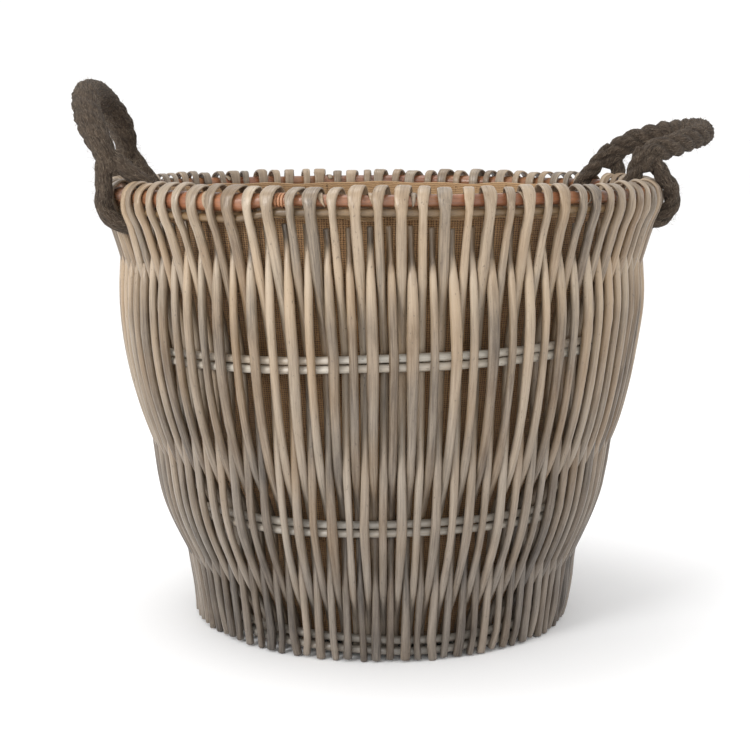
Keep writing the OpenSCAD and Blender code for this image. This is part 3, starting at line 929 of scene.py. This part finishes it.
def rope_eye(skin, place, turn_to, start_turn, softened):
    """A drop-shaped eye round the rim, whose two sides run together into the leg."""
    rows = []
    for degrees in range(52, 309, 16):
        bent = math.radians(degrees)
        rows.append((EYE_R * math.sin(bent), 0.0, EYE_R * math.cos(bent), EYE_ROPE_R))
    first = [(2.2 * MM, 0.0, 43 * MM, 5.6 * MM), (6.5 * MM, 0.0, 33 * MM, 7.2 * MM)]
    last = [(-x, y, z, r) for x, y, z, r in reversed(first)]
    rows = np.array(first + rows + last)
    rows[:, :3] = rows[:, :3] @ turn_to.T + place
    return laid_rope(skin, smooth(rows, [1.3 * MM] * len(rows), 3), start_turn, softened)


def lean_matrix(lean):
    """Turns a handle that stands upright outward along +X by an angle."""
    c, s = math.cos(lean), math.sin(lean)
    return np.array([[c, 0, s], [0, 1, 0], [-s, 0, c]])


def handle(name, node, body, hinge, outward, course, eye_leans, stout, softened):
    """A rope handle. course holds how far out, up and to the side of the hinge's middle its
    rope runs, in millimetres, from the front leg's foot to the back leg's. stout is its
    thickness beside the usual, and softened how far its strands have spread."""
    skin = Skin()
    flip = np.array([outward, 1.0, 1.0])
    middle = np.array([hinge.x * outward, 0.0, hinge.z])
    rows = np.array([(out * MM, side * MM, rise * MM, ROPE_R * stout) for out, rise, side in course])
    for k, radius in enumerate(LEG_RADII):
        rows[[k, -1 - k], 3] = radius
    rows[:, :3] += middle
    rows[3:-3, :3] += rng.normal(0, 0.7 * MM, (len(rows) - 6, 3))
    made = [laid_rope(skin, smooth(rows, [1.3 * MM] * len(rows), 3), 0.1, softened)]
    for sign, lean in zip((-1, 1), eye_leans):
        place = middle + np.array([0, sign * HINGE_Y, 0])
        turn_to = lean_matrix(math.radians(lean))
        made.append(rope_eye(skin, place, turn_to, 0.3 + 0.2 * sign, softened))
    for points, _, _ in made:
        fuzz(skin, points, FIBRES)
    if outward < 0:
        skin.points = [points * flip for points in skin.points]
        skin.faces = [face[::-1] for face in skin.faces]
    return skin.piece(name, ROPE, body, "rope", node)


# how far out, up and to the side the rope runs, from the front leg's foot to the back leg's
LEFT_COURSE = [
    (12.0, 24, -81.7), (15.5, 33, -81.4), (20.0, 43, -79), (27.5, 61, -68), (33.5, 76, -50), (33.5, 87, -25),
    (31.0, 89, 0), (26.5, 87, 26), (18.5, 79, 50), (10.5, 62, 68), (5.0, 43, 78.5), (4.0, 33, 81.4),
    (4.5, 24, 81.7),
]
RIGHT_COURSE = [
    (-3.5, 23, -81.7), (-4.5, 30, -81.4), (1.0, 38, -79.5), (21.0, 44.5, -73), (43.5, 51, -56),
    (62.0, 55.5, -31), (69.0, 57.8, 0), (64.0, 57.2, 30), (51.5, 55.3, 53), (36.0, 51.4, 67),
    (24.0, 45.6, 75), (13.5, 37, 80), (8.0, 29, 81.4), (6.0, 22, 81.7),
]
handle("rope_left", "handle_left", "left_rope", LEFT_HINGE, -1, LEFT_COURSE, (25, 9), 1.14, 0.78)
handle("rope_right", "handle_right", "right_rope", RIGHT_HINGE, 1, RIGHT_COURSE, (-8, 14), 1.0, 0.5)

# ---------------------------------------------------------------- floor, light and camera


# each lamp's name, place and size in metres, and its power
LAMPS = (
    ("key_lamp", (-2.5, -2.2, 1.5), 1.2, 58),
    ("front_lamp", (-0.2, -3.1, 1.2), 1.2, 10),
    ("top_lamp", (-0.3, 0.2, 2.6), 1.2, 15),
)
AIR_BRIGHTNESS = 1.06             # a little over one, so that the pale floor reads as white


def studio():
    """A pale floor, soft light from all round, and large soft lamps at the left, front and top."""
    bpy.ops.mesh.primitive_plane_add(size=120, location=(0, 0, 0))
    floor = bpy.context.active_object
    floor.name = "studio_floor"
    pale = Nodes("studio_white")
    cloudy = pale.noise(pale.node("ShaderNodeTexCoord").outputs["Object"], 0.4, 2)
    colour = pale.mix(cloudy, (0.96, 0.96, 0.965, 1), (0.97, 0.97, 0.97, 1))
    floor.data.materials.append(pale.finish(colour, 0.9, pale.bump(cloudy, 0.001, 0.1)))
    world = bpy.data.worlds.new("studio_air")
    world.use_nodes = True
    air = world.node_tree.nodes["Background"]
    air.inputs["Color"].default_value = (1, 1, 1, 1)
    air.inputs["Strength"].default_value = AIR_BRIGHTNESS
    bpy.context.scene.world = world
    for name, place, size, power in LAMPS:
        data = bpy.data.lights.new(name, "AREA")
        data.shape = "DISK"
        data.size = size
        data.energy = power
        lamp = bpy.data.objects.new(name, data)
        lamp.location = place
        aim = Vector((0, 0, 0.2)) - Vector(place)
        lamp.rotation_mode = "QUATERNION"
        lamp.rotation_quaternion = aim.to_track_quat("-Z", "Y")
        bpy.context.scene.collection.objects.link(lamp)


def camera():
    """Looks at the front, a little from the left and from just above the rim."""
    turned = math.radians(7)
    down = math.radians(8.84)
    distance, height, aside = 1.454, 0.4433, 0.0062
    data = bpy.data.cameras.new("camera")
    data.sensor_width = 36
    data.lens = 76.8
    made = bpy.data.objects.new("camera", data)
    ahead = Vector((math.sin(turned), math.cos(turned), 0))
    beside = Vector((math.cos(turned), -math.sin(turned), 0))
    made.location = -distance * ahead - aside * beside + Vector((0, 0, height))
    look = ahead * math.cos(down) - Vector((0, 0, math.sin(down)))
    made.rotation_mode = "QUATERNION"
    made.rotation_quaternion = look.to_track_quat("-Z", "Y")
    bpy.context.scene.collection.objects.link(made)
    bpy.context.scene.camera = made


studio()
camera()
bpy.context.scene.view_settings.view_transform = "Standard"  # plain colours on a white floor
